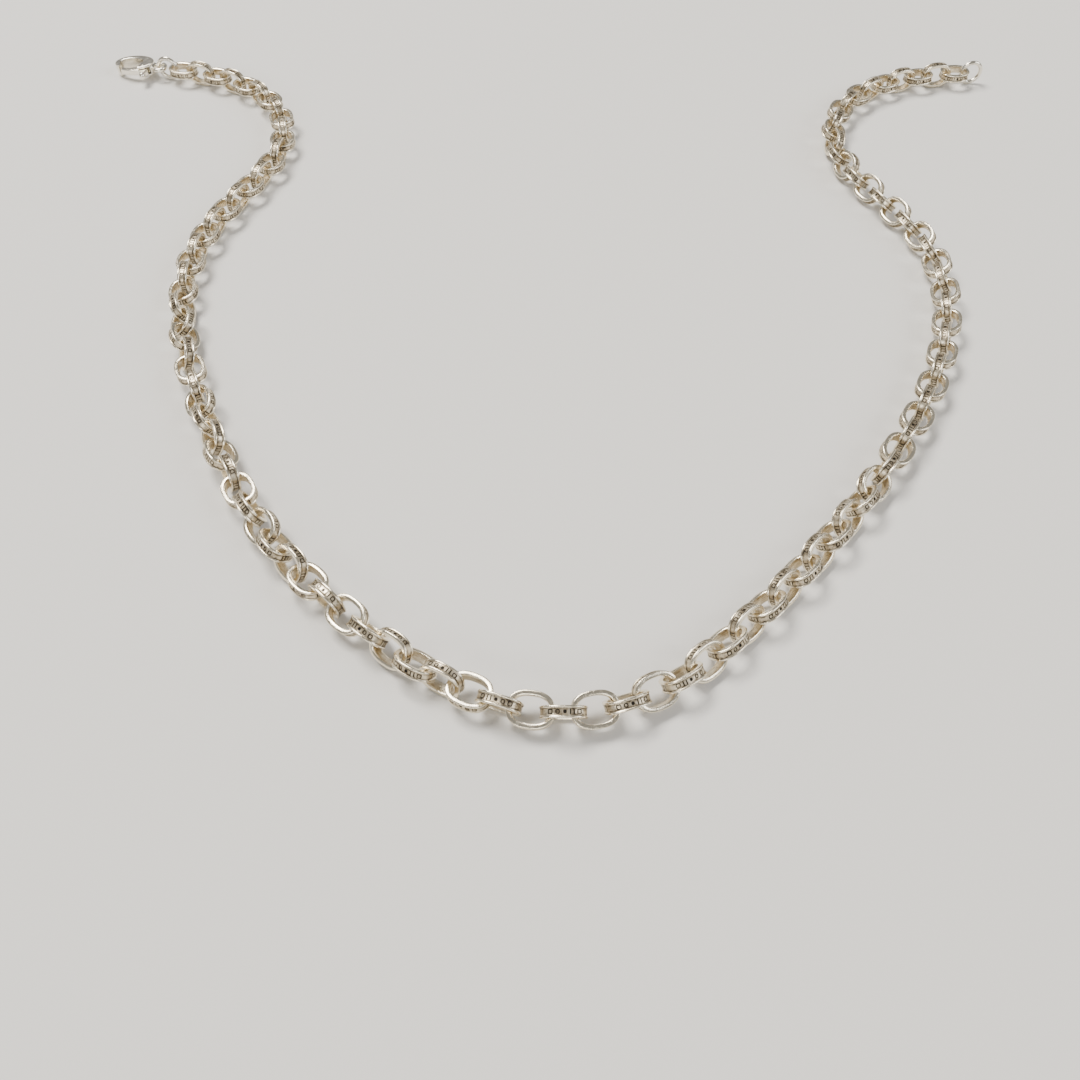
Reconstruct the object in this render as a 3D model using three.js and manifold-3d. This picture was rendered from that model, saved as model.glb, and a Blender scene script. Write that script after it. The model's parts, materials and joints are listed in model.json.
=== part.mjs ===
// Silver cable-chain necklace, laid on a table with its clasp undone.
//
// The chain is a row of oval links cut from flat band, each turned a quarter turn from its
// neighbours, and in places a little more, because the chain lies twisted. Two neighbouring
// links make one solid here, joined where their ends cross, so that the whole necklace fits in
// sixty nodes. At the left end a jump ring carries a lobster
// clasp with its lever, pin and spring, and at the right end a ring waits for the clasp.
//
// Millimetres, +Z up. The necklace rests on Z = 0 with the centre of its box over the origin,
// and the front of the necklace, which hangs lowest when it is worn, faces -Y.

import * as THREE from "three";
import { mergeVertices } from "three/addons/utils/BufferGeometryUtils.js";
import Module from "manifold-3d";

// Link: an oval of flat band.
const LINK_LENGTH = 6.7;
const LINK_WIDTH = 5.3;
const BAND_WIDTH = 1.7;
const BAND_THICKNESS = 0.7;
const OVAL_POWER = 2.5; // 2 is an ellipse, and more is squarer
const OVAL_SIDES = 12;

// Chain: links follow each other at this distance.
const PITCH = 4.5;
const PAIR_LENGTH = 2 * PITCH;
const LEFT_PAIRS = 25;
const RIGHT_PAIRS = 24;
const PAIR_COUNT = LEFT_PAIRS + 1 + RIGHT_PAIRS;
const WELD_SIZE = 1;

// Where the chain lies, seen from above: from its left end, round the front, to its right end.
const PLAN = [
  [-86, 143.5], [-73.5, 139.5], [-62.5, 131], [-56.5, 118.5], [-56.5, 105], [-61.5, 92.5],
  [-66, 80], [-67.5, 65.5], [-64.5, 48.5], [-58, 30.5], [-50, 14], [-40, -1.5], [-27.5, -14.5],
  [-13.5, -25], [1.5, -30.5], [17, -26.5], [30, -15.5], [43, -1.5], [55.5, 14.5], [66, 31],
  [73, 47], [76.5, 63], [75.5, 77.5], [70.5, 89.5], [65, 102], [64, 115], [69, 127.5],
  [79, 136.5], [92, 141], [106, 142],
];

// How far the chain is rolled from lying flat, in degrees, by distance along it. The left half
// is twisted through a whole turn.
const ROLL_STOPS = [
  { at: 0, roll: -360 },
  { at: 98, roll: -360 },
  { at: 216, roll: 28 },
  { at: 230, roll: 30 },
  { at: 254, roll: 62 },
  { at: 282, roll: 58 },
  { at: 300, roll: 9 },
  { at: 318, roll: 0 },
  { at: 345, roll: -25 },
  { at: 430, roll: -90 },
  { at: 460, roll: -90 },
];

// Jump rings: round wire. Each hangs from the outermost link's eye.
const RING_RADIUS = 2.3;
const RING_WIRE = 0.9;
const RING_REACH = 4;

// Lobster clasp, measured from the centre of its eye along its length.
const CLASP_DROOP = 6; // degrees that it leans down from the ring to the table
const EYE_RADIUS = 1.9;
const EYE_HOLE = 1.15;
const EYE_THICKNESS = 1;
const CLAW_CENTRE = 6.4;
const CLAW_LENGTH = 10;
const CLAW_WIDTH = 6.2;
const CLAW_THICKNESS = 2.6;
const HOOK = { x: 7.2, length: 6, width: 3.5 };
const GATE = { from: 4.4, to: 9.4, low: 0.6 };
const SLOT = { from: 1.8, low: -0.5, width: 1.7 };
const PIVOT = { x: 3.3, y: 1.5 };
const PIN_RADIUS = 0.45;
const PIN_CLEARANCE = 0.15;
const LEVER_THICKNESS = 1.3;
const LEVER_BOSS = 1.1;
const LEVER_GAP = 0.3;
const TAB = { x: 2.3, y: 4.3, radius: 0.75 };
const SPRING = { from: 2.4, to: 4, low: -0.3, rise: 0.3, thickness: 0.15, width: 1 };

const wasm = await Module();
wasm.setup();

const silver = () => new THREE.MeshStandardMaterial({
  color: 0xb9b2a6, roughness: 0.32, metalness: 1,
});
const springSteel = () => new THREE.MeshStandardMaterial({
  color: 0x8f9296, roughness: 0.4, metalness: 1,
});

// ---------------------------------------------------------------- solids

function toSolid(geometry) {
  const bare = geometry.clone();
  bare.deleteAttribute("normal");
  bare.deleteAttribute("uv");
  const merged = mergeVertices(bare, 1e-4);
  return new wasm.Manifold(new wasm.Mesh({
    numProp: 3,
    vertProperties: Float32Array.from(merged.attributes.position.array),
    triVerts: Uint32Array.from(merged.index.array),
  }));
}

function toGeometry(solid) {
  const mesh = solid.getMesh();
  const geometry = new THREE.BufferGeometry();
  geometry.setAttribute("position", new THREE.BufferAttribute(mesh.vertProperties, 3));
  geometry.setIndex(new THREE.BufferAttribute(mesh.triVerts, 1));
  return geometry;
}

function extrude(shape, thickness, curveSegments = 12) {
  const options = { depth: thickness, bevelEnabled: false, curveSegments };
  return new THREE.ExtrudeGeometry(shape, options).translate(0, 0, -thickness / 2);
}

function block(x0, x1, y0, y1, thickness) {
  return new THREE.BoxGeometry(x1 - x0, y1 - y0, thickness)
    .translate((x0 + x1) / 2, (y0 + y1) / 2, 0);
}

function disc(x, y, radius, thickness, sides = 16) {
  return new THREE.CylinderGeometry(radius, radius, thickness, sides)
    .rotateX(Math.PI / 2)
    .translate(x, y, 0);
}

function ellipse(x, length, width) {
  return new THREE.Shape().absellipse(x, 0, length / 2, width / 2, 0, 2 * Math.PI);
}

// ---------------------------------------------------------------- chain

function oval(length, width) {
  const soften = (value) => Math.sign(value) * Math.abs(value) ** (2 / OVAL_POWER);
  return Array.from({ length: OVAL_SIDES }, (_, side) => {
    const angle = (side / OVAL_SIDES) * 2 * Math.PI;
    return new THREE.Vector2(
      (length / 2) * soften(Math.cos(angle)),
      (width / 2) * soften(Math.sin(angle)),
    );
  });
}

function linkGeometry() {
  const shape = new THREE.Shape(oval(LINK_LENGTH, LINK_WIDTH));
  const hole = oval(LINK_LENGTH - 2 * BAND_THICKNESS, LINK_WIDTH - 2 * BAND_THICKNESS);
  shape.holes.push(new THREE.Path(hole));
  return extrude(shape, BAND_WIDTH);
}

function pairGeometry(twist) {
  const first = toSolid(linkGeometry().translate(-PITCH / 2, 0, 0));
  const turned = linkGeometry().rotateX(Math.PI / 2 + twist);
  const second = toSolid(turned.translate(PITCH / 2, 0, 0));
  const weld = toSolid(new THREE.BoxGeometry(WELD_SIZE, WELD_SIZE, WELD_SIZE));
  return toGeometry(first.add(second).add(weld));
}

function rollAt(distance) {
  const next = Math.max(1, ROLL_STOPS.findIndex((stop) => stop.at >= distance));
  const [a, b] = [ROLL_STOPS[next - 1], ROLL_STOPS[next]];
  const share = (distance - a.at) / (b.at - a.at);
  return THREE.MathUtils.degToRad(a.roll + share * (b.roll - a.roll));
}

// Height of the chain's middle line: the lower of the two crossed links touches the table.
function restHeight(roll) {
  const reach = (a, b) => (LINK_WIDTH * Math.abs(a) + BAND_WIDTH * Math.abs(b)) / 2;
  return Math.max(
    reach(Math.sin(roll), Math.cos(roll)),
    reach(Math.cos(roll), Math.sin(roll)),
  );
}

const plan = new THREE.CatmullRomCurve3(PLAN.map(([x, y]) => new THREE.Vector3(x, y, 0)));
plan.arcLengthDivisions = 4000;
const planLength = plan.getLength();

// The point where two pairs meet, counted from the left end of the chain.
function meetingPoint(index) {
  const distance = index * PAIR_LENGTH;
  const point = plan.getPointAt(distance / planLength);
  point.z = restHeight(rollAt(distance));
  return point;
}

// A frame whose X runs along the chain and whose Z is tipped by the roll.
function chainFrame(from, to, roll) {
  const along = to.clone().sub(from).normalize();
  const side = new THREE.Vector3(0, 0, 1).cross(along).normalize();
  const up = along.clone().cross(side);
  const normal = up.multiplyScalar(Math.cos(roll)).addScaledVector(side, -Math.sin(roll));
  const across = normal.clone().cross(along);
  return new THREE.Matrix4().makeBasis(along, across, normal);
}

function pairName(index) {
  const step = index - LEFT_PAIRS;
  if (step === 0) return "links_middle";
  const number = String(Math.abs(step)).padStart(2, "0");
  return step < 0 ? `links_left_${number}` : `links_right_${number}`;
}

function addPairs(group) {
  for (let index = 0; index < PAIR_COUNT; index += 1) {
    const from = meetingPoint(index);
    const to = meetingPoint(index + 1);
    const firstRoll = rollAt(index * PAIR_LENGTH + PITCH / 2);
    const secondRoll = rollAt(index * PAIR_LENGTH + PITCH * 1.5);
    const mesh = new THREE.Mesh(pairGeometry(secondRoll - firstRoll), silver());
    mesh.name = pairName(index);
    mesh.setRotationFromMatrix(chainFrame(from, to, firstRoll));
    mesh.position.copy(from).add(to).multiplyScalar(0.5);
    group.add(mesh);
  }
}

// ---------------------------------------------------------------- clasp

function ringGeometry() {
  return new THREE.TorusGeometry(RING_RADIUS, RING_WIRE / 2, 8, 18).rotateX(Math.PI / 2);
}

function claspBodyGeometry() {
  const claw = toSolid(extrude(ellipse(CLAW_CENTRE, CLAW_LENGTH, CLAW_WIDTH), CLAW_THICKNESS));
  const hook = toSolid(extrude(ellipse(HOOK.x, HOOK.length, HOOK.width), 2 * CLAW_THICKNESS));
  const gate = toSolid(block(GATE.from, GATE.to, GATE.low, CLAW_WIDTH, 2 * CLAW_THICKNESS));
  const slot = toSolid(block(SLOT.from, GATE.from, SLOT.low, CLAW_WIDTH, SLOT.width));
  const bore = toSolid(disc(PIVOT.x, PIVOT.y, PIN_RADIUS + PIN_CLEARANCE, 2 * CLAW_THICKNESS));
  const eye = toSolid(disc(0, 0, EYE_RADIUS, EYE_THICKNESS, 20));
  const eyeHole = toSolid(disc(0, 0, EYE_HOLE, 2 * EYE_THICKNESS, 20));
  const body = claw.subtract(hook).subtract(gate).subtract(slot).subtract(bore);
  return toGeometry(body.add(eye).subtract(eyeHole));
}

function claspLeverGeometry() {
  const outline = ellipse(CLAW_CENTRE, CLAW_LENGTH - 0.2, CLAW_WIDTH - 0.2);
  const rim = toSolid(extrude(outline, LEVER_THICKNESS));
  const hook = toSolid(extrude(ellipse(HOOK.x, HOOK.length, HOOK.width), 2 * LEVER_THICKNESS));
  const reach = toSolid(
    block(PIVOT.x, GATE.to - LEVER_GAP, GATE.low + LEVER_GAP, CLAW_WIDTH, LEVER_THICKNESS),
  );
  const boss = toSolid(disc(PIVOT.x, PIVOT.y, LEVER_BOSS, LEVER_THICKNESS));
  const stem = new THREE.Shape([
    new THREE.Vector2(PIVOT.x - LEVER_BOSS, PIVOT.y),
    new THREE.Vector2(PIVOT.x + LEVER_BOSS, PIVOT.y),
    new THREE.Vector2(TAB.x + TAB.radius, TAB.y),
    new THREE.Vector2(TAB.x - TAB.radius, TAB.y),
  ]);
  const thumb = toSolid(disc(TAB.x, TAB.y, TAB.radius, LEVER_THICKNESS));
  const bore = toSolid(
    disc(PIVOT.x, PIVOT.y, PIN_RADIUS + PIN_CLEARANCE, 2 * LEVER_THICKNESS),
  );
  const arm = rim.subtract(hook).intersect(reach);
  const lever = arm.add(boss).add(toSolid(extrude(stem, LEVER_THICKNESS))).add(thumb);
  return toGeometry(lever.subtract(bore));
}

function claspSpringGeometry() {
  const { from, to, low, rise, thickness, width } = SPRING;
  const middle = (from + to) / 2;
  const shape = new THREE.Shape();
  shape.moveTo(from, low);
  shape.quadraticCurveTo(middle, low + 2 * rise, to, low);
  shape.lineTo(to, low + thickness);
  shape.quadraticCurveTo(middle, low + thickness + 2 * rise, from, low + thickness);
  shape.closePath();
  return extrude(shape, width, 5);
}

function addRing(group, name, from, to) {
  const ring = new THREE.Mesh(ringGeometry(), silver());
  const outward = to.clone().sub(from).setZ(0).normalize();
  ring.name = name;
  ring.setRotationFromMatrix(chainFrame(from.clone().setZ(0), to.clone().setZ(0), 0));
  ring.position.copy(to).addScaledVector(outward, RING_REACH - PITCH / 2);
  ring.position.z = RING_RADIUS + RING_WIRE / 2;
  group.add(ring);
  return ring;
}

function addClasp(group, ring) {
  const clasp = new THREE.Group();
  clasp.position.copy(ring.position);
  clasp.quaternion.copy(ring.quaternion);
  clasp.rotateY(THREE.MathUtils.degToRad(CLASP_DROOP));
  const pin = disc(PIVOT.x, PIVOT.y, PIN_RADIUS, CLAW_THICKNESS, 12);
  const pieces = [
    ["clasp_body", claspBodyGeometry(), silver()],
    ["clasp_lever", claspLeverGeometry(), silver()],
    ["clasp_pin", pin, silver()],
    ["clasp_spring", claspSpringGeometry(), springSteel()],
  ];
  for (const [name, geometry, material] of pieces) {
    const mesh = new THREE.Mesh(geometry, material);
    mesh.name = name;
    mesh.position.x = RING_RADIUS;
    clasp.add(mesh);
  }
  group.add(clasp);
}

// ---------------------------------------------------------------- assembly

const necklace = new THREE.Group();
addPairs(necklace);
const claspRing = addRing(necklace, "clasp_ring", meetingPoint(1), meetingPoint(0));
addClasp(necklace, claspRing);
addRing(necklace, "end_ring", meetingPoint(PAIR_COUNT - 1), meetingPoint(PAIR_COUNT));

// Centre the necklace over the origin and set its lowest point on the table.
necklace.updateMatrixWorld(true);
const extent = new THREE.Box3().setFromObject(necklace, true);
const middle = extent.getCenter(new THREE.Vector3());
necklace.position.set(-middle.x, -middle.y, -extent.min.z);

export default necklace;
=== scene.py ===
# %% [markdown]
# # A silver cable-chain necklace
#
# The necklace is a hundred oval links of flat silver band, each turned a quarter turn from its
# neighbours, with a lobster clasp on one end and a ring on the other. It lies open on a table.
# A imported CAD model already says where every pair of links, ring and clasp part is. This lesson
# builds the fine pieces around that frame, one cell at a time. Lengths are in metres.

import json
import math
import random

import bmesh
import bpy
from mathutils import Matrix, Vector


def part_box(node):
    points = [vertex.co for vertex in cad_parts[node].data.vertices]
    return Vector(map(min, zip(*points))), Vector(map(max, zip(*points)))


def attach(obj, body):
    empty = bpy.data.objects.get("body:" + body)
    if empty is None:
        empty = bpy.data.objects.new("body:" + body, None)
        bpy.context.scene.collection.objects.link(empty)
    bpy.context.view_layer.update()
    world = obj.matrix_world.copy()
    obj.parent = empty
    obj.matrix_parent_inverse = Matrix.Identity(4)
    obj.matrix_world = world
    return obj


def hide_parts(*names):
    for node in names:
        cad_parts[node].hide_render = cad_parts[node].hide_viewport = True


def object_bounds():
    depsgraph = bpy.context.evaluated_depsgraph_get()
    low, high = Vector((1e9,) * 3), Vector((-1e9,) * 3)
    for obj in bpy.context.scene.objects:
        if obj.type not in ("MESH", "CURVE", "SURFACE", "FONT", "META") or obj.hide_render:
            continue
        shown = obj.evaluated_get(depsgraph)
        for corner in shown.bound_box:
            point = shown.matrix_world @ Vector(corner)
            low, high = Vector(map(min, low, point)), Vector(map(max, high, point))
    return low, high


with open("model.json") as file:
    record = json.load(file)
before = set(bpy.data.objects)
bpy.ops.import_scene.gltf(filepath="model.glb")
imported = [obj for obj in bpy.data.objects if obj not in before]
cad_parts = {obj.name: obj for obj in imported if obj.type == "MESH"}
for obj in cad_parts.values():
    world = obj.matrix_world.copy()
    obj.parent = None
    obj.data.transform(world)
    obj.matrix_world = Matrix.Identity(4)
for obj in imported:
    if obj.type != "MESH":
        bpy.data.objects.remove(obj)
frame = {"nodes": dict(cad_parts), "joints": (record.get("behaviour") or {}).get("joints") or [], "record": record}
cad_low, cad_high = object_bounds()
MM = 0.001
joints = {joint["name"]: joint for joint in frame["joints"]}
body_of_node = {
    node: body
    for body, nodes in frame["record"]["behaviour"]["bodies"].items()
    for node in nodes
}

# %% [markdown]
# ## The size of a link
#
# A silversmith would roll a strip of silver, cut it to length, bend it round an oval mandrel and
# solder the ends. So four numbers describe a link: how long and wide the oval is, and how wide
# and thick the strip is. `OVAL_POWER` squares the oval up a little: 2 would be a true ellipse.

# %% Link sizes
LINK_LENGTH = 6.7 * MM
LINK_WIDTH = 5.3 * MM
BAND_WIDTH = 1.7 * MM
BAND_THICKNESS = 0.7 * MM
OVAL_POWER = 2.5
LINK_SHARP_ANGLE = 38
print("link:", round(LINK_LENGTH / MM, 2), "x", round(LINK_WIDTH / MM, 2), "mm")

# %% [markdown]
# ## Where every link lies
#
# Each CAD node holds two crossed links in a straight row. The four corners furthest from the
# middle of a node are the outer corners of the band at its two ends, two at each end. Halfway
# between two such corners is the tip of a link, and the line from one to the other runs across
# the band. That is enough to place both links of the pair exactly.

# %% Read the link frames from the CAD pairs
def band_corners(node):
    """The four band corners at the two ends of a pair of links."""
    spots = {tuple(round(c, 7) for c in v.co) for v in frame["nodes"][node].data.vertices}
    corners = [Vector(spot) for spot in sorted(spots)]
    middle = sum(corners, Vector()) / len(corners)
    corners.sort(key=lambda corner: -(corner - middle).length)
    return corners[:4]


def pair_ends(node):
    """For each end of a pair: the tip of the link and the direction across its band."""
    corners = band_corners(node)
    first = corners[0]
    corners.sort(key=lambda corner: (corner - first).length)
    ends = []
    for a, b in (corners[:2], corners[2:]):
        ends.append({"tip": (a + b) / 2, "across": (a - b).normalized()})
    return ends


def pair_names():
    left = sorted((n for n in frame["nodes"] if n.startswith("links_left")), reverse=True)
    right = sorted(n for n in frame["nodes"] if n.startswith("links_right"))
    return left + ["links_middle"] + right


def read_links():
    """Every link in order along the chain, with its centre, its length and its band."""
    links = []
    previous_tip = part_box("clasp_ring")[0]
    for node in pair_names():
        ends = sorted(pair_ends(node), key=lambda end: (end["tip"] - previous_tip).length)
        along = (ends[1]["tip"] - ends[0]["tip"]).normalized()
        for end, inward in zip(ends, (along, -along)):
            centre = end["tip"] + inward * (LINK_LENGTH / 2)
            links.append({"node": node, "centre": centre, "along": along, "across": end["across"]})
        previous_tip = ends[1]["tip"]
    return links


links = read_links()
pitch = (links[1]["centre"] - links[0]["centre"]).length
print("links:", len(links), "pitch:", round(pitch / MM, 3), "mm")

# %% [markdown]
# ## Let the chain flow
#
# The CAD pairs are straight, so all of the chain's bend and twist sits between one pair and the
# next. On a real chain every link takes its share. Each link is turned a quarter of the way
# towards its neighbour in the next pair, and gets a degree or two of chance play.

# %% Share the bend and the twist, and add a little play
SHARE = 0.25
PLAY_ROLL = math.radians(3.5)
PLAY_YAW = math.radians(1.0)


def outer_neighbour(index):
    other = index - 1 if index % 2 == 0 else index + 1
    return links[other] if 0 <= other < len(links) else None


def eased(index, chance):
    """The link's along and across directions once it has taken its share."""
    link = links[index]
    other = outer_neighbour(index)
    along, across = link["along"].copy(), link["across"].copy()
    if other:
        turned = along.cross(other["across"])
        if turned.dot(across) < 0:
            turned.negate()
        along = along.lerp(other["along"], SHARE).normalized()
        across = across.lerp(turned, SHARE)
    across = (across - along * across.dot(along)).normalized()
    roll = Matrix.Rotation(chance.uniform(-PLAY_ROLL, PLAY_ROLL), 3, along)
    yaw = Matrix.Rotation(chance.uniform(-PLAY_YAW, PLAY_YAW), 3, across)
    return yaw @ along, roll @ across


def place_matrix(origin, x_axis, z_axis):
    """A matrix that puts a piece's own X and Z along two directions at right angles."""
    x = x_axis.normalized()
    y = z_axis.cross(x).normalized()
    z = x.cross(y)
    turn = Matrix((x, y, z)).transposed().to_4x4()
    return Matrix.Translation(origin) @ turn


chance = random.Random(11)
link_matrices = []
for index, link in enumerate(links):
    along, across = eased(index, chance)
    link_matrices.append(place_matrix(link["centre"], along, across))
print("placed", len(link_matrices), "links")

# %% [markdown]
# ## The strip of silver
#
# The strip's outer face has two raised rails with a sunk channel between them, the edges are
# rounded by years of wear, and the inner face is very slightly domed. Its outline is drawn once,
# as a closed loop of points: `out` is how far a point stands out from the middle of the strip's
# thickness, `up` is how far it is across the width. One half is enough, because the other half
# is its mirror.

# %% The strip's outline
HALF_OUTLINE = [  # (out, up) in millimetres, from the middle of the inner face
    (-0.410, 0.20), (-0.403, 0.44), (-0.385, 0.65), (-0.335, 0.79), (-0.230, 0.85),
    (0.190, 0.85), (0.285, 0.815), (0.338, 0.745), (0.345, 0.655), (0.320, 0.575),
    (0.250, 0.520), (0.215, 0.465), (0.210, 0.160),
]
CHANNEL_OUT = 0.21 * MM
RAIL_OUT = 0.345 * MM
CHANNEL_HALF = 0.465 * MM


def strip_outline():
    lower = [(out, -up) for out, up in reversed(HALF_OUTLINE)]
    return [(out * MM, up * MM) for out, up in HALF_OUTLINE + lower]


print("the strip's outline has", len(strip_outline()), "points")

# %% [markdown]
# ## A hoop first, an oval later
#
# Spinning the outline round an axis gives a plain round hoop, and stamping marks into a round
# hoop is easy, because every cell of its channel looks the same. The hoop has the same length
# round its middle as the oval, so nothing stretches when it is bent to shape afterwards.

# %% Measure the oval and make the hoop
HOOP_STEPS = 72
OVAL_SAMPLES = 1440


def squared(value):
    """A sine or cosine bent so that a circle drawn with it squares up a little."""
    return math.copysign(abs(value) ** (2 / OVAL_POWER), value)


def oval_point(angle):
    """A point on the oval along the middle of the strip's thickness."""
    half_length = (LINK_LENGTH - BAND_THICKNESS) / 2
    half_width = (LINK_WIDTH - BAND_THICKNESS) / 2
    return Vector((half_length * squared(math.cos(angle)), half_width * squared(math.sin(angle)), 0))


oval_points = [oval_point(2 * math.pi * i / OVAL_SAMPLES) for i in range(OVAL_SAMPLES + 1)]
oval_lengths = [0.0]
for a, b in zip(oval_points, oval_points[1:]):
    oval_lengths.append(oval_lengths[-1] + (b - a).length)
HOOP_RADIUS = oval_lengths[-1] / (2 * math.pi)


def on_oval(share):
    """The point on the oval's middle line a share of the way round it."""
    wanted = (share % 1.0) * oval_lengths[-1]
    low, high = 0, OVAL_SAMPLES
    while high - low > 1:
        half = (low + high) // 2
        if oval_lengths[half] <= wanted:
            low = half
        else:
            high = half
    rest = (wanted - oval_lengths[low]) / (oval_lengths[high] - oval_lengths[low])
    return oval_points[low].lerp(oval_points[high], rest)


def make_hoop():
    bm = bmesh.new()
    verts = [bm.verts.new((HOOP_RADIUS + out, 0, up)) for out, up in strip_outline()]
    edges = [bm.edges.new((a, b)) for a, b in zip(verts, verts[1:] + verts[:1])]
    bmesh.ops.spin(
        bm, geom=verts + edges, cent=(0, 0, 0), axis=(0, 0, 1), angle=2 * math.pi,
        steps=HOOP_STEPS, use_merge=True, use_duplicate=False,
    )
    bmesh.ops.remove_doubles(bm, verts=bm.verts, dist=1e-7)
    bmesh.ops.recalc_face_normals(bm, faces=bm.faces)
    return bm


print("once round the oval is", round(oval_lengths[-1] / MM, 2), "mm")

# %% [markdown]
# ## Stamped marks
#
# The channel is decorated with punches: a frame, a ring, a deep dot, a pair of bars and another
# frame in a row along each long side, and cross bars over the two ends. First the floor of the
# channel is found again among the hoop's faces, step by step round the hoop, because every
# punch will cover a few of those steps.

# %% Mark sizes and the channel's floor
MARK_DEPTH = 0.085 * MM
DOT_DEPTH = 0.12 * MM
MARK_RADIUS = 0.36 * MM
DOT_RADIUS = 0.28 * MM
RIM = 0.01 * MM
WALL = 0.018 * MM
GROOVE = 0.13 * MM
BAR_EDGE = 0.035 * MM
FLOOR_TOLERANCE = 0.02 * MM
MARK_STEPS = 3
SIDE_MARKS = [  # the first step round the hoop that a punch covers, and the punch used there
    (9, "frame"), (13, "ring"), (17, "dot"), (21, "bars"), (25, "frame"),
]
END_MARKS = (-2, 0, 2)


def channel_rows(bm):
    """The floor of the channel: the cells across it at each step round the hoop."""
    rows = {}
    for face in bm.faces:
        centre = face.calc_center_median()
        out = math.hypot(centre.x, centre.y) - HOOP_RADIUS
        if abs(centre.z) < CHANNEL_HALF and abs(out - CHANNEL_OUT) < FLOOR_TOLERANCE:
            angle = math.atan2(centre.y, centre.x) % (2 * math.pi)
            rows.setdefault(int(angle / (2 * math.pi) * HOOP_STEPS), []).append(face)
    return rows


hoop = make_hoop()
print("steps round the channel:", len(channel_rows(hoop)))

# %% [markdown]
# ## The punches
#
# A mark starts as a block of the floor's faces dissolved into one. An inset draws the mark's
# rim, its corners are moved to a circle or a box, and a second inset with a depth sinks it.
# Two more insets raise an island in the middle, which turns a dot into a ring and a box into a
# frame. A bar is one step of the floor, inset and sunk.

# %% The punches
def shrink(bm, face, edge):
    """Leave a flat border of the given width round a face."""
    bmesh.ops.inset_individual(bm, faces=[face], thickness=edge, use_even_offset=True)


def sink(bm, face, depth):
    """Push a face down and leave a steep wall round it."""
    bmesh.ops.inset_individual(bm, faces=[face], thickness=WALL, depth=-depth, use_even_offset=True)


def rounded(face, radius, squareness):
    """Move a face's corners to a circle, or towards a box as the squareness grows."""
    centre = face.calc_center_median()
    for vert in face.verts:
        away = vert.co - centre
        level = max(abs(away.z), (away - Vector((0, 0, away.z))).length)
        reach = away.length * (1 - squareness) + level * squareness
        vert.co = centre + away * (radius / reach)


def one_block(bm, cells):
    """Dissolve a few faces of the floor into one."""
    return bmesh.ops.dissolve_faces(bm, faces=cells)["region"][0]


def punch(bm, cells, kind):
    """Stamp a dot, or a ring or a frame with an island left in its middle."""
    block = one_block(bm, cells)
    shrink(bm, block, RIM)
    if kind == "dot":
        rounded(block, DOT_RADIUS, 0)
        sink(bm, block, DOT_DEPTH)
        return
    rounded(block, MARK_RADIUS, 0 if kind == "ring" else 1)
    sink(bm, block, MARK_DEPTH)
    shrink(bm, block, GROOVE)
    sink(bm, block, -MARK_DEPTH)


def punch_bar(bm, cells):
    block = one_block(bm, cells)
    shrink(bm, block, BAR_EDGE)
    sink(bm, block, MARK_DEPTH)


print("punches: frame, ring, dot, bar")

# %% [markdown]
# ## Stamp the row of marks
#
# A stamper would walk the punches along the strip before bending it. Here they walk along the
# hoop, once for each long side, half a turn apart.

# %% Punch the marks into the hoop
def punch_marks(bm):
    rows = channel_rows(bm)
    for turn in (0, HOOP_STEPS // 2):
        for start, kind in SIDE_MARKS:
            covered = [rows[(start + turn + step) % HOOP_STEPS] for step in range(MARK_STEPS)]
            if kind == "bars":
                punch_bar(bm, covered[0])
                punch_bar(bm, covered[-1])
            else:
                punch(bm, sum(covered, []), kind)
        for step in END_MARKS:
            punch_bar(bm, rows[(step + turn) % HOOP_STEPS])


punch_marks(hoop)
print("stamped hoop:", len(hoop.faces), "faces")

# %% [markdown]
# ## Remember what the shape knows
#
# The finish depends on where a point is on the strip: dirt stays in the channel, the rails are
# rubbed bright, and brushing runs along the strip. While the link is still a hoop this is easy
# to work out, so it is stored on the points as attributes for the material to read.
# `recess` says how sunken a point is and `inside` marks the inner face. `grain` runs slowly
# round the hoop and quickly across it, so that noise read from it becomes streaks.

# %% Store the wear on the hoop's points
CHANNEL_FOOT = 0.01 * MM
CHANNEL_SLOPE = 0.08 * MM
FOOT_DIRT = 0.35
DEEPEST = 1.8
INNER_FACE_OUT = -0.37 * MM


def store_wear(bm):
    recess = bm.verts.layers.float.new("recess")
    inside = bm.verts.layers.float.new("inside")
    grain = bm.verts.layers.float_vector.new("grain")
    for vert in bm.verts:
        angle = math.atan2(vert.co.y, vert.co.x)
        out = math.hypot(vert.co.x, vert.co.y) - HOOP_RADIUS
        in_channel = out > 0 and abs(vert.co.z) < CHANNEL_HALF + CHANNEL_SLOPE
        depth = (RAIL_OUT - out) / (RAIL_OUT - CHANNEL_OUT) if in_channel else 0
        at_foot = in_channel and abs(vert.co.z) > CHANNEL_HALF - CHANNEL_FOOT
        vert[recess] = max(0.0, min(DEEPEST, depth + (FOOT_DIRT if at_foot else 0)))
        vert[inside] = 1.0 if out < INNER_FACE_OUT else 0.0
        vert[grain] = (math.cos(angle), math.sin(angle), vert.co.z / BAND_WIDTH + out / MM)


store_wear(hoop)
print("attributes:", [layer.name for layer in hoop.verts.layers.float.values()])

# %% [markdown]
# ## Bend the hoop
#
# Every point keeps its share of the way round and its distance from the middle line, and moves
# from the circle to the oval. The result is the one mesh that all hundred links are made from.

# %% Bend the hoop to an oval
def bend_to_oval(bm):
    nudge = 1.0 / OVAL_SAMPLES
    for vert in bm.verts:
        share = math.atan2(vert.co.y, vert.co.x) / (2 * math.pi)
        out = math.hypot(vert.co.x, vert.co.y) - HOOP_RADIUS
        ahead = on_oval(share + nudge) - on_oval(share - nudge)
        normal = Vector((ahead.y, -ahead.x, 0)).normalized()
        vert.co = on_oval(share) + normal * out + Vector((0, 0, vert.co.z))


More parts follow.
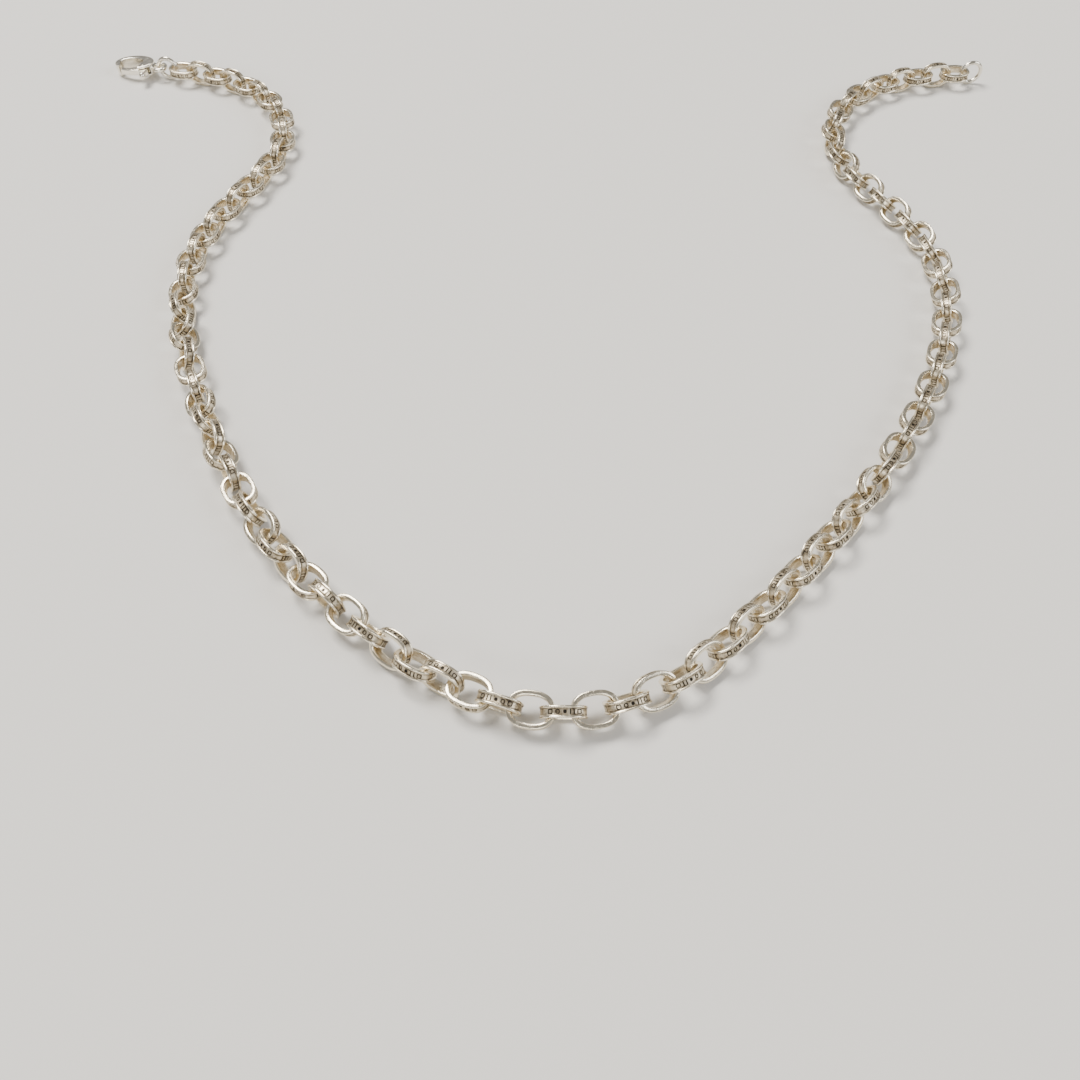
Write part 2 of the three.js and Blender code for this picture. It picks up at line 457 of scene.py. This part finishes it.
bend_to_oval(hoop)
link_mesh = bpy.data.meshes.new("link_master")
hoop.to_mesh(link_mesh)
hoop.free()
link_mesh.shade_smooth()
link_mesh.set_sharp_from_angle(angle=math.radians(LINK_SHARP_ANGLE))
print("link mesh:", len(link_mesh.vertices), "points")

# %% [markdown]
# ## Node groups that several metals share
#
# Three effects come back in every metal here, so each is built once as a group with named
# inputs. *Tarnish and shade* mixes bright metal, a warm haze, which on the links' inner faces is
# painted shade, and black oxide. *Scratches* makes fine lines from stretched noise. *Handling*
# breaks up the gloss with soft smudges.

# %% Helpers for node trees
def is_socket(value):
    """Whether a value is another node's output rather than a plain number or colour."""
    return hasattr(value, "is_linked")


def feed(tree, socket, value):
    """Link an output to a socket, or type a plain value into it."""
    if is_socket(value):
        tree.links.new(value, socket)
    else:
        socket.default_value = value


def add_node(tree, kind, **values):
    node = tree.nodes.new(kind)
    for name, value in values.items():
        setattr(node, name, value)
    return node


def set_inputs(node, **values):
    for name, value in values.items():
        node.inputs[name.replace("_", " ")].default_value = value
    return node


def new_group(name, inputs, outputs):
    group = bpy.data.node_groups.new(name, "ShaderNodeTree")
    for label, kind in inputs:
        group.interface.new_socket(label, in_out="INPUT", socket_type=kind)
    for label, kind in outputs:
        group.interface.new_socket(label, in_out="OUTPUT", socket_type=kind)
    entry = group.nodes.new("NodeGroupInput")
    leave = group.nodes.new("NodeGroupOutput")
    return group, entry, leave


print("node helpers ready")

# %% [markdown]
# ## The few nodes that every effect is built from
#
# Almost any surface effect is noise, pushed through a smooth step, added or multiplied, and
# used to mix two colours. Each of these gets a short helper, so the groups below read like
# sums.

# %% Helpers for single nodes
def math_node(tree, operation, a, b, clamp=False):
    node = add_node(tree, "ShaderNodeMath", operation=operation, use_clamp=clamp)
    feed(tree, node.inputs[0], a)
    feed(tree, node.inputs[1], b)
    return node.outputs[0]


def noise_node(tree, vector, scale, detail=3.0, roughness=0.5):
    node = add_node(tree, "ShaderNodeTexNoise")
    set_inputs(node, Scale=scale, Detail=detail, Roughness=roughness)
    tree.links.new(vector, node.inputs["Vector"])
    return node.outputs["Fac"]


def ramp_node(tree, value, low, high):
    node = add_node(tree, "ShaderNodeMapRange", interpolation_type="SMOOTHSTEP")
    node.inputs["From Min"].default_value = low
    node.inputs["From Max"].default_value = high
    tree.links.new(value, node.inputs["Value"])
    return node.outputs["Result"]


def mix_colours(tree, factor, first, second):
    node = add_node(tree, "ShaderNodeMix", data_type="RGBA")
    for place, value in ((0, factor), (6, first), (7, second)):
        feed(tree, node.inputs[place], value)
    return node.outputs[2]


print("noise, sums, steps and mixes ready")

# %% [markdown]
# ## Tarnish and painted shade
#
# Silver darkens where fingers and cloth don't reach. The group takes how sunken a point is and
# how hazy it should be, breaks both up with noise so that no border is even, and mixes three
# colours: bright metal, a warm haze and black oxide. On the links' inner faces the warm haze
# also stands in for shade, so there it is painted shade. It also puts out where the black is,
# because oxide is less of a mirror than metal.

# %% The tarnish and painted shade group
def make_tarnish_and_shade_group():
    group, entry, leave = new_group(
        "tarnish_and_shade",
        [("Vector", "NodeSocketVector"), ("Depth", "NodeSocketFloat"),
         ("Haze", "NodeSocketFloat"), ("Bright", "NodeSocketColor"),
         ("Warm", "NodeSocketColor"), ("Oxide", "NodeSocketColor")],
        [("Color", "NodeSocketColor"), ("Dark", "NodeSocketFloat")],
    )
    blotch = noise_node(group, entry.outputs["Vector"], 900.0, 5.0, 0.6)
    speck = noise_node(group, entry.outputs["Vector"], 5200.0, 3.0, 0.6)
    uneven = math_node(group, "ADD", blotch, math_node(group, "MULTIPLY", speck, 0.5))
    # how far to go towards the warm haze, which on the links' inner faces is painted shade
    haze_and_shade_share = ramp_node(group, math_node(group, "ADD", uneven, entry.outputs["Haze"]), 0.85, 1.45)
    worn = math_node(group, "MULTIPLY", math_node(group, "SUBTRACT", uneven, 0.75), 1.1)
    dark = ramp_node(group, math_node(group, "ADD", entry.outputs["Depth"], worn), 0.97, 1.45)
    metal = mix_colours(group, haze_and_shade_share, entry.outputs["Bright"], entry.outputs["Warm"])
    colour = mix_colours(group, dark, metal, entry.outputs["Oxide"])
    group.links.new(colour, leave.inputs["Color"])
    group.links.new(dark, leave.inputs["Dark"])
    return group


tarnish_and_shade = make_tarnish_and_shade_group()
print("group:", tarnish_and_shade.name)

# %% [markdown]
# ## Brushing and fine knocks
#
# Brushing leaves fine parallel lines, and daily wear leaves small knocks in every direction.
# One noise pattern gives both: stretched along one direction it turns into lines, and left
# alone it is a field of knocks. The group puts out a height, and each metal bumps with it.

# %% The scratches group
def make_scratches_group():
    group, entry, leave = new_group(
        "scratches",
        [("Vector", "NodeSocketVector"), ("Stretch", "NodeSocketVector"),
         ("Fineness", "NodeSocketFloat")],
        [("Height", "NodeSocketFloat")],
    )
    stretched = add_node(group, "ShaderNodeVectorMath", operation="MULTIPLY")
    group.links.new(entry.outputs["Vector"], stretched.inputs[0])
    group.links.new(entry.outputs["Stretch"], stretched.inputs[1])
    noise = add_node(group, "ShaderNodeTexNoise")
    set_inputs(noise, Detail=6.0, Roughness=0.65)
    group.links.new(stretched.outputs[0], noise.inputs["Vector"])
    group.links.new(entry.outputs["Fineness"], noise.inputs["Scale"])
    group.links.new(noise.outputs["Fac"], leave.inputs["Height"])
    return group


scratches = make_scratches_group()
print("group:", scratches.name)

# %% [markdown]
# ## Where it is handled
#
# Skin and cloth polish metal in soft patches. The group mixes a polished and a dull roughness
# by large smudges, and by an amount that each metal gives for its sheltered places.

# %% The handling group
def make_handling_group():
    group, entry, leave = new_group(
        "handling",
        [("Vector", "NodeSocketVector"), ("Polished", "NodeSocketFloat"),
         ("Dull", "NodeSocketFloat"), ("Amount", "NodeSocketFloat")],
        [("Roughness", "NodeSocketFloat")],
    )
    smudge = ramp_node(group, noise_node(group, entry.outputs["Vector"], 1400.0, 4.0), 0.3, 0.75)
    share = math_node(group, "ADD", math_node(group, "MULTIPLY", smudge, 0.45),
                      entry.outputs["Amount"], clamp=True)
    span = math_node(group, "SUBTRACT", entry.outputs["Dull"], entry.outputs["Polished"])
    rough = math_node(group, "ADD", entry.outputs["Polished"], math_node(group, "MULTIPLY", span, share))
    group.links.new(rough, leave.inputs["Roughness"])
    return group


handling = make_handling_group()
print("group:", handling.name)

# %% [markdown]
# ## Putting a material together
#
# Every metal starts from the same shader and the same object coordinates, places the groups
# with its own values and ends in a bump. These four helpers do that part, so that each metal's
# own cell shows only what is special about it.

# %% Helpers for materials
def start_material(name):
    material = bpy.data.materials.new(name)
    material.use_nodes = True
    tree = material.node_tree
    shader = tree.nodes["Principled BSDF"]
    coords = add_node(tree, "ShaderNodeTexCoord").outputs["Object"]
    return material, tree, shader, coords


def use_group(tree, group, **values):
    node = add_node(tree, "ShaderNodeGroup")
    node.node_tree = group
    for name, value in values.items():
        feed(tree, node.inputs[name], value)
    return node


def bump(tree, shader, height, strength, distance):
    node = add_node(tree, "ShaderNodeBump")
    set_inputs(node, Strength=strength, Distance=distance)
    tree.links.new(height, node.inputs["Height"])
    tree.links.new(node.outputs["Normal"], shader.inputs["Normal"])


def attribute(tree, name, output):
    return add_node(tree, "ShaderNodeAttribute", attribute_name=name).outputs[output]


print("material helpers ready")

# %% [markdown]
# ## The chain's own finish
#
# The links are silver that was blackened and then rubbed back. The rails and edges are bright
# with a warm cast, the marks and the foot of the channel keep the black, and the inner faces
# are softly brushed along the strip, with a brownish haze that is partly tarnish and partly
# painted shade on the links' inner walls. Everything that changes over the surface comes from
# the attributes and from noise on object coordinates.

# %% Blackened silver
BRIGHT_SILVER = (0.91, 0.825, 0.655, 1)
# warm brown haze: tarnish, and on the links' inner faces also painted shade
WARM_HAZE_AND_SHADE = (0.44, 0.345, 0.215, 1)
BLACK_OXIDE = (0.026, 0.020, 0.014, 1)


def make_blackened_silver():
    material, tree, shader, coords = start_material("blackened_silver")
    recess = attribute(tree, "recess", "Fac")
    inside = attribute(tree, "inside", "Fac")
    grain = attribute(tree, "grain", "Vector")
    brushed = use_group(tree, scratches, Vector=grain, Stretch=(1.6, 1.6, 42.0), Fineness=1.0)
    knocks = use_group(tree, scratches, Vector=coords, Stretch=(1.0, 1.0, 1.0), Fineness=2600.0)

    streaks = math_node(tree, "SUBTRACT", brushed.outputs["Height"], 0.33)
    # streaky warm brown on the inner faces: brushed tarnish plus painted shade of the inner walls
    inner_shade_and_haze = math_node(tree, "MULTIPLY", inside, math_node(tree, "MULTIPLY", streaks, 2.2))
    haze_and_shade = math_node(tree, "ADD", inner_shade_and_haze, math_node(tree, "MULTIPLY", recess, 0.42))
    colours = use_group(
        tree, tarnish_and_shade, Vector=coords, Depth=recess, Haze=haze_and_shade,
        Bright=BRIGHT_SILVER, Warm=WARM_HAZE_AND_SHADE, Oxide=BLACK_OXIDE,
    )
    tree.links.new(colours.outputs["Color"], shader.inputs["Base Color"])

    dull = math_node(tree, "ADD", math_node(tree, "MULTIPLY", recess, 0.45),
                     math_node(tree, "MULTIPLY", inside, 0.35), clamp=True)
    gloss = use_group(tree, handling, Vector=coords, Polished=0.15, Dull=0.5, Amount=dull)
    tree.links.new(gloss.outputs["Roughness"], shader.inputs["Roughness"])
    oxide = math_node(tree, "MULTIPLY", colours.outputs["Dark"], 0.45)
    tree.links.new(math_node(tree, "SUBTRACT", 1.0, oxide), shader.inputs["Metallic"])

    height = math_node(tree, "ADD", brushed.outputs["Height"],
                       math_node(tree, "MULTIPLY", knocks.outputs["Height"], 1.2))
    bump(tree, shader, height, 0.35, 0.00003)
    return material


blackened_silver = make_blackened_silver()
print("material:", blackened_silver.name)

# %% [markdown]
# ## Set out the chain
#
# Every link is a copy of the same mesh, carried to its place. Its object stays at the origin:
# the place goes into the mesh, so that the noise in its metal differs from link to link. It
# rides on the body of its CAD pair, so it moves with that pair when the chain swings.

# %% Build the hundred links
def finish_piece(name, mesh, material, nodes):
    piece = bpy.data.objects.new(name, mesh)
    bpy.context.scene.collection.objects.link(piece)
    mesh.materials.clear()
    mesh.materials.append(material)
    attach(piece, body_of_node[nodes[0]])
    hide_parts(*nodes)
    return piece


for index, (link, matrix) in enumerate(zip(links, link_matrices)):
    mesh = link_mesh.copy()
    mesh.transform(matrix)
    finish_piece(f"link_{index + 1:03d}", mesh, blackened_silver, [link["node"]])
bpy.data.meshes.remove(link_mesh)
print("built", len(links), "links")

# %% [markdown]
# ## Polished silver for the clasp and the rings
#
# The clasp and the rings are handled the most, so they carry little black. Their metal uses the
# same three groups with gentler values, and scratches that run in no special direction.

# %% Clasp silver, ring silver and spring steel
def make_polished_metal(name, bright, warm, haze_and_shade, polished, dull, fineness):
    material, tree, shader, coords = start_material(name)
    colours = use_group(
        tree, tarnish_and_shade, Vector=coords, Depth=0.0, Haze=haze_and_shade, Bright=bright, Warm=warm,
        Oxide=BLACK_OXIDE,
    )
    tree.links.new(colours.outputs["Color"], shader.inputs["Base Color"])
    gloss = use_group(tree, handling, Vector=coords, Polished=polished, Dull=dull, Amount=0.1)
    tree.links.new(gloss.outputs["Roughness"], shader.inputs["Roughness"])
    shader.inputs["Metallic"].default_value = 1.0
    fine = use_group(tree, scratches, Vector=coords, Stretch=(1.0, 3.0, 1.0), Fineness=fineness)
    bump(tree, shader, fine.outputs["Height"], 0.3, 0.00002)
    return material


clasp_silver = make_polished_metal(
    "clasp_silver", (0.91, 0.86, 0.75, 1), WARM_HAZE_AND_SHADE, 0.05, 0.12, 0.42, 2200.0)
ring_silver = make_polished_metal(
    "ring_silver", (0.90, 0.845, 0.73, 1), WARM_HAZE_AND_SHADE, 0.1, 0.14, 0.4, 3000.0)
spring_steel = make_polished_metal(
    "spring_steel", (0.56, 0.57, 0.60, 1), (0.34, 0.30, 0.26, 1), 0.15, 0.25, 0.5, 2600.0)
print("materials:", clasp_silver.name, ring_silver.name, spring_steel.name)

# %% [markdown]
# ## Jump rings
#
# A jump ring is round wire bent to a circle, with its two cut ends pressed together. Spinning a
# small disc just short of a full turn leaves the fine seam that every jump ring has, and the
# disc closes each end. Both rings stand upright, with the seam turned up.

# %% Make the two rings
RING_RADIUS = 2.3 * MM
RING_WIRE = 0.9 * MM
RING_SEAM = math.radians(1.2)
SEAM_PLACE = math.radians(-118)
RING_STEPS = 72
WIRE_SIDES = 20
UP = Vector((0, 0, 1))


def mesh_from(bm, name, sharp_angle=40):
    mesh = bpy.data.meshes.new(name)
    bm.to_mesh(mesh)
    bm.free()
    mesh.shade_smooth()
    mesh.set_sharp_from_angle(angle=math.radians(sharp_angle))
    return mesh


def ring_mesh(name):
    """A ring of round wire about its own Y axis."""
    bm = bmesh.new()
    bmesh.ops.create_circle(bm, cap_ends=True, segments=WIRE_SIDES, radius=RING_WIRE / 2)
    bmesh.ops.translate(bm, verts=bm.verts, vec=(RING_RADIUS, 0, 0))
    geometry = list(bm.verts) + list(bm.edges) + list(bm.faces)
    bmesh.ops.spin(
        bm, geom=geometry, cent=(0, 0, 0), axis=(0, 1, 0), angle=2 * math.pi - RING_SEAM,
        steps=RING_STEPS, use_duplicate=False,
    )
    turn = Matrix.Rotation(SEAM_PLACE, 3, "Y")
    bmesh.ops.rotate(bm, verts=bm.verts, cent=(0, 0, 0), matrix=turn)
    bmesh.ops.recalc_face_normals(bm, faces=bm.faces)
    return mesh_from(bm, name)


def ring_place(node, joint_name):
    """The ring's centre, and the level direction from the chain's last link out to it."""
    low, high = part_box(node)
    centre = (low + high) / 2
    outward = centre - Vector(joints[joint_name]["pos_m"])
    outward.z = 0
    return place_matrix(centre, outward, UP)


for node in ("clasp_ring", "end_ring"):
    mesh = ring_mesh(node)
    mesh.transform(ring_place(node, f"{node}_swing"))
    finish_piece(f"{node}_wire", mesh, ring_silver, [node])
print("rings:", 2)

# %% [markdown]
# ## The lobster clasp's own frame
#
# The clasp hangs from its ring and leans down to the table. The record's joints say how: the
# swing joint's axis runs across the clasp through its ring, and the lever's joint stands
# square to the clasp's flat side. Every clasp piece is drawn in that frame, in millimetres
# from the middle of the eye, and carried over at the end.

# %% The clasp's frame and its sizes
swing = joints["clasp_swing"]
flat_side = Vector(joints["clasp_lever_press"]["axis"])
clasp_along = Vector(swing["axis"]).cross(flat_side).normalized()
eye_centre = Vector(swing["pos_m"]) + clasp_along * RING_RADIUS
clasp_matrix = place_matrix(eye_centre, clasp_along, flat_side) @ Matrix.Scale(MM, 4)

CLAW = {"centre": 6.4, "length": 10.0, "width": 6.2, "thickness": 2.6}
HOOK = {"centre": 7.2, "length": 6.0, "width": 3.5}
GATE_START = 4.4
PIVOT = Vector((3.3, 1.5, 0))
PIN_RADIUS = 0.45
print("clasp leans", round(math.degrees(math.asin(-clasp_along.z)), 1), "degrees")

# %% [markdown]
# ## Drawing an outline and giving it thickness
#
# The claw and the lever are both flat shapes that a caster would cut in wax. Each is drawn as
# one loop of arcs and corners, filled with a face and extruded. A bevel rounds its edges.

# %% Outlines and slabs
def arc(shape, start, end, steps):
    """Points along part of an ellipse, from one angle in degrees to another."""
    points = []
    for step in range(steps + 1):
        angle = math.radians(start + (end - start) * step / steps)
        x = shape["centre"] + shape["length"] / 2 * math.cos(angle)
        points.append((x, shape["width"] / 2 * math.sin(angle)))
    return points


def is_level(edge):
    return abs(edge.verts[0].co.z - edge.verts[1].co.z) < 1e-6


def add_slab(bm, outline, thickness, rounding, segments):
    """A flat outline given thickness, with its edges rounded."""
    verts = [bm.verts.new((x, y, -thickness / 2)) for x, y in outline]
    face = bm.faces.new(verts)
    made = bmesh.ops.extrude_face_region(bm, geom=[face])["geom"]
    raised = [item for item in made if isinstance(item, bmesh.types.BMVert)]
    bmesh.ops.translate(bm, verts=raised, vec=(0, 0, thickness))
    slab = set(verts) | set(raised)
    bmesh.ops.recalc_face_normals(bm, faces=[f for f in bm.faces if set(f.verts) <= slab])
    rims = [e for e in bm.edges if set(e.verts) <= slab and is_level(e)]
    bmesh.ops.bevel(
        bm, geom=rims, offset=rounding, affect="EDGES", segments=segments, profile=0.5,
        material=-1, clamp_overlap=True,
    )


print("outline helpers ready")

# %% [markdown]
# ## Melting, cutting and drilling
#
# A voxel remesh melts overlapping bits of wax into one skin, and smoothing softens it as
# polishing does. A boolean then saws and drills, so those edges stay crisp. Both are modifiers,
# applied through a worker object that is thrown away afterwards.

# %% Melt and cut
def with_modifier(mesh, kind, **settings):
    """The mesh as it is once one modifier has been applied to it."""
    worker = bpy.data.objects.new("worker", mesh)
    bpy.context.scene.collection.objects.link(worker)
    modifier = worker.modifiers.new(kind, kind)
    for name, value in settings.items():
        setattr(modifier, name, value)
    depsgraph = bpy.context.evaluated_depsgraph_get()
    result = bpy.data.meshes.new_from_object(worker.evaluated_get(depsgraph))
    bpy.data.objects.remove(worker)
    return result


def melt(bm, name, voxel, passes):
    """Turn overlapping shells into one smooth skin."""
    rough = mesh_from(bm, name)
    skin = with_modifier(rough, "REMESH", mode="VOXEL", voxel_size=voxel)
    smooth = bmesh.new()
    smooth.from_mesh(skin)
    for _ in range(passes):
        bmesh.ops.smooth_vert(
            smooth, verts=smooth.verts, factor=0.5, use_axis_x=True, use_axis_y=True,
            use_axis_z=True,
        )
    return mesh_from(smooth, name)


def cut(mesh, tool):
    """Take the tool's shape out of a mesh."""
    cutter = bpy.data.objects.new("cutter", tool)
    bpy.context.scene.collection.objects.link(cutter)
    result = with_modifier(mesh, "BOOLEAN", operation="DIFFERENCE", solver="EXACT", object=cutter)
    bpy.data.objects.remove(cutter)
    return result


print("wax helpers ready")

# %% [markdown]
# ## Saw cuts and rods
#
# A box is the saw cut that makes room for the lever. A rod is the drill, and with rounded rims
# it is also the pin, whose two ends are hammered over.

# %% Boxes and rods
def box_mesh(low, high):
    """A box from its low corner to its high corner."""
    bm = bmesh.new()
    bmesh.ops.create_cube(bm, size=1)
    size = Vector(high) - Vector(low)
    bmesh.ops.scale(bm, verts=bm.verts, vec=size)
    bmesh.ops.translate(bm, verts=bm.verts, vec=Vector(low) + size / 2)
    return mesh_from(bm, "box")


def rod_mesh(centre, radius, length, rounding):
    """A round rod across the clasp, with rounded ends."""
    bm = bmesh.new()
    bmesh.ops.create_cone(
        bm, cap_ends=True, segments=32, radius1=radius, radius2=radius, depth=length,
    )
    bmesh.ops.translate(bm, verts=bm.verts, vec=centre)
    if rounding:
        rims = [edge for edge in bm.edges if is_level(edge)]
        bmesh.ops.bevel(
            bm, geom=rims, offset=rounding, affect="EDGES", segments=4, profile=0.5,
            material=-1,
        )
    return mesh_from(bm, "rod")


print("cutting tools ready")

# %% [markdown]
# ## The claw
#
# The body of the clasp is one casting: a round eye that the ring passes through, a short neck,
# and a hook that comes round to meet the lever. A slot sawn into its back holds the lever
# between two cheeks, and a hole through both cheeks takes the pin.

# %% Cast the claw
EYE_WIRE = {"radius": 1.525, "radial": 0.375, "axial": 0.5}
NECK = {"start": 1.15, "end": 2.9, "half_width": 0.95, "flare": 0.5, "half_thickness": 0.8}
SLOT = {"start": 1.8, "end": GATE_START + 0.4, "low": -0.5, "high": 4.0, "half": 0.85}
OUTER_ARC = (53.13, -246.42)
INNER_ARC = (158.96, 402.83)


def claw_outline():
    """Round the outside from the hook's tip to the gate, and back along the inside."""
    return arc(CLAW, *OUTER_ARC, 64) + arc(HOOK, *INNER_ARC, 48)


def add_eye(bm):
    wire = bmesh.ops.create_circle(bm, segments=20, radius=1)["verts"]
    bmesh.ops.rotate(bm, verts=wire, cent=(0, 0, 0), matrix=Matrix.Rotation(math.pi / 2, 3, "X"))
    bmesh.ops.scale(bm, verts=wire, vec=(EYE_WIRE["radial"], 1, EYE_WIRE["axial"]))
    bmesh.ops.translate(bm, verts=wire, vec=(EYE_WIRE["radius"], 0, 0))
    edges = {edge for vert in wire for edge in vert.link_edges}
    bmesh.ops.spin(
        bm, geom=wire + list(edges), cent=(0, 0, 0), axis=(0, 0, 1), angle=2 * math.pi,
        steps=48, use_merge=True, use_duplicate=False,
    )
    bmesh.ops.remove_doubles(bm, verts=bm.verts, dist=1e-5)


def make_claw():
    bm = bmesh.new()
    add_slab(bm, claw_outline(), CLAW["thickness"], rounding=0.55, segments=5)
    half = NECK["half_width"]
    wide = half + NECK["flare"]
    corners = [(NECK["start"], -half), (NECK["end"], -wide), (NECK["end"], wide),
               (NECK["start"], half)]
    add_slab(bm, corners, 2 * NECK["half_thickness"], rounding=0.3, segments=3)
    add_eye(bm)
    bmesh.ops.recalc_face_normals(bm, faces=bm.faces)
    mesh = melt(bm, "claw", voxel=0.07, passes=5)
    slot = box_mesh((SLOT["start"], SLOT["low"], -SLOT["half"]), (SLOT["end"], SLOT["high"], SLOT["half"]))
    hole = rod_mesh(PIVOT, PIN_RADIUS, 2 * CLAW["thickness"], rounding=0)
    mesh = cut(cut(mesh, slot), hole)
    mesh.shade_smooth()
    mesh.set_sharp_from_angle(angle=math.radians(45))
    return mesh


claw = make_claw()
claw.transform(clasp_matrix)
finish_piece("clasp_claw", claw, clasp_silver, ["clasp_body"])
print("claw:", len(claw.polygons), "faces")

# %% [markdown]
# ## The lever, its pin and its spring
#
# The lever turns on the pin. Its long arm closes the gate and carries the claw's outline on, so
# the shut clasp looks like one smooth shape. Its short arm ends in a bead for a fingertip. A
# leaf of spring steel in the slot pushes it shut.

# %% Make the lever, the pin and the spring
LEVER_THICKNESS = 1.3
PIN_PLAY = 0.05
RIVET = {"radius": PIN_RADIUS - 0.01, "length": 2.74, "rounding": 0.14}
LEVER_RIM = {"centre": 6.4, "length": 9.8, "width": 6.0}
LEVER_BOSS = {"centre": 3.3, "length": 2.2, "width": 2.2}
BEAD = {"place": (2.3, 4.3, 0), "size": (0.78, 0.72, 0.85)}
SPRING = {"start": 2.4, "end": 4.0, "low": -0.3, "rise": 0.3, "thickness": 0.15, "width": 1.0}


def lever_outline():
    """Along the inside from the gate's tip, round the boss and the bead, and back outside."""
    inner = arc(HOOK, 50.7, 149.0, 16)
    boss = [(x, y + PIVOT.y) for x, y in arc(LEVER_BOSS, -33.1, -180, 12)]
    bead = [(1.75, 4.2), (2.85, 4.5), (3.8, 2.62)]
    outer = arc(LEVER_RIM, 118.5, 56.5, 14)
    return inner + boss + bead + outer


def make_lever():
    bm = bmesh.new()
    add_slab(bm, lever_outline(), LEVER_THICKNESS, rounding=0.25, segments=3)
    bead = bmesh.ops.create_icosphere(bm, subdivisions=3, radius=1)["verts"]
    bmesh.ops.scale(bm, verts=bead, vec=BEAD["size"])
    bmesh.ops.translate(bm, verts=bead, vec=BEAD["place"])
    bmesh.ops.recalc_face_normals(bm, faces=bm.faces)
    mesh = melt(bm, "lever", voxel=0.05, passes=4)
    mesh = cut(mesh, rod_mesh(PIVOT, PIN_RADIUS + PIN_PLAY, 2 * LEVER_THICKNESS, rounding=0))
    mesh.shade_smooth()
    mesh.set_sharp_from_angle(angle=math.radians(45))
    return mesh


def make_spring():
    bm = bmesh.new()
    bmesh.ops.create_grid(bm, x_segments=12, y_segments=2, size=0.5)
    length = SPRING["end"] - SPRING["start"]
    for vert in bm.verts:
        share = vert.co.x + 0.5
        bend = 4 * SPRING["rise"] * share * (1 - share)
        along = SPRING["start"] + share * length
        vert.co = (along, SPRING["low"] + bend, vert.co.y * SPRING["width"])
    geometry = list(bm.verts) + list(bm.edges) + list(bm.faces)
    bmesh.ops.solidify(bm, geom=geometry, thickness=SPRING["thickness"])
    bmesh.ops.recalc_face_normals(bm, faces=bm.faces)
    return mesh_from(bm, "spring")


rivet = rod_mesh(PIVOT, RIVET["radius"], RIVET["length"], RIVET["rounding"])
clasp_pieces = [
    ("clasp_lever_arm", make_lever(), clasp_silver, "clasp_lever", "clasp_silver"),
    ("clasp_rivet", rivet, clasp_silver, "clasp_pin", "clasp_silver"),
    ("clasp_leaf_spring", make_spring(), spring_steel, "clasp_spring", "spring_steel"),
]
for name, mesh, material, node, slot_name in clasp_pieces:
    mesh.transform(clasp_matrix)
    finish_piece(name, mesh, material, [node])
    print(name, len(mesh.polygons), "faces")

# %% [markdown]
# ## The table
#
# The necklace lies on a pale, dull table, level with its lowest point.

# %% The table
TABLE_SIZE = 8.0


def make_table():
    bm = bmesh.new()
    bmesh.ops.create_grid(bm, x_segments=1, y_segments=1, size=TABLE_SIZE / 2)
    bmesh.ops.translate(bm, verts=bm.verts, vec=(0, 0, cad_low[2]))
    mesh = mesh_from(bm, "table")
    table = bpy.data.objects.new("table", mesh)
    bpy.context.scene.collection.objects.link(table)
    material = bpy.data.materials.new("pale_table")
    material.use_nodes = True
    shader = material.node_tree.nodes["Principled BSDF"]
    shader.inputs["Base Color"].default_value = (0.76, 0.745, 0.715, 1)
    shader.inputs["Roughness"].default_value = 0.8
    mesh.materials.append(material)


make_table()
print("table at", round(cad_low[2] / MM, 2), "mm")

# %% [markdown]
# ## The light
#
# Polished metal shows its surroundings more than its own colour, so the light does much of the
# work. Large soft panels give the rails long, clean highlights, and a dim room keeps the
# shaded sides of the links dark enough to read.

# %% Soft panels and a dim room
def aim(thing, target):
    turn = (Vector(target) - thing.location).to_track_quat("-Z", "Y")
    thing.rotation_euler = turn.to_euler()


def make_panel(name, place, size, power, colour):
    light = bpy.data.lights.new(name, "AREA")
    light.shape = "RECTANGLE"
    light.size, light.size_y = size
    light.energy = power
    light.color = colour
    panel = bpy.data.objects.new(name, light)
    bpy.context.scene.collection.objects.link(panel)
    panel.location = place
    aim(panel, (0, 0, 0))


make_panel("key_panel", (-0.90, 0.90, 2.10), (1.35, 0.90), 97.0, (1.0, 0.96, 0.90))
make_panel("fill_panel", (2.25, -0.45, 1.50), (1.35, 1.35), 33.0, (0.96, 0.97, 1.0))
make_panel("front_panel", (-0.45, -2.55, 1.35), (2.10, 0.66), 29.0, (1.0, 0.98, 0.94))

world = bpy.data.worlds.new("room")
world.use_nodes = True
world.node_tree.nodes["Background"].inputs["Color"].default_value = (0.83, 0.82, 0.80, 1)
world.node_tree.nodes["Background"].inputs["Strength"].default_value = 0.35
bpy.context.scene.world = world
print("panels:", 3)

# %% [markdown]
# ## The camera
#
# The camera looks down on the necklace from the front, closer to it than the necklace is wide,
# so the front of the chain looks larger than its ends.

# %% The camera
LENS = 36.67
VIEW_DOWN = math.radians(50.69)
VIEW_DISTANCE = 168.33 * MM
AIM_SHIFT = Vector((-1.40, -58.41, 0)) * MM
aim_point = (Vector(cad_low) + Vector(cad_high)) / 2 + AIM_SHIFT
camera = bpy.data.objects.new("camera", bpy.data.cameras.new("camera"))
camera.data.lens = LENS
camera.data.sensor_width = 36
camera.data.clip_start = 0.01
camera.location = aim_point + VIEW_DISTANCE * Vector((0, -math.cos(VIEW_DOWN), math.sin(VIEW_DOWN)))
aim(camera, aim_point)
bpy.context.scene.collection.objects.link(camera)
bpy.context.scene.camera = camera
print("camera at", [round(c, 4) for c in camera.location])
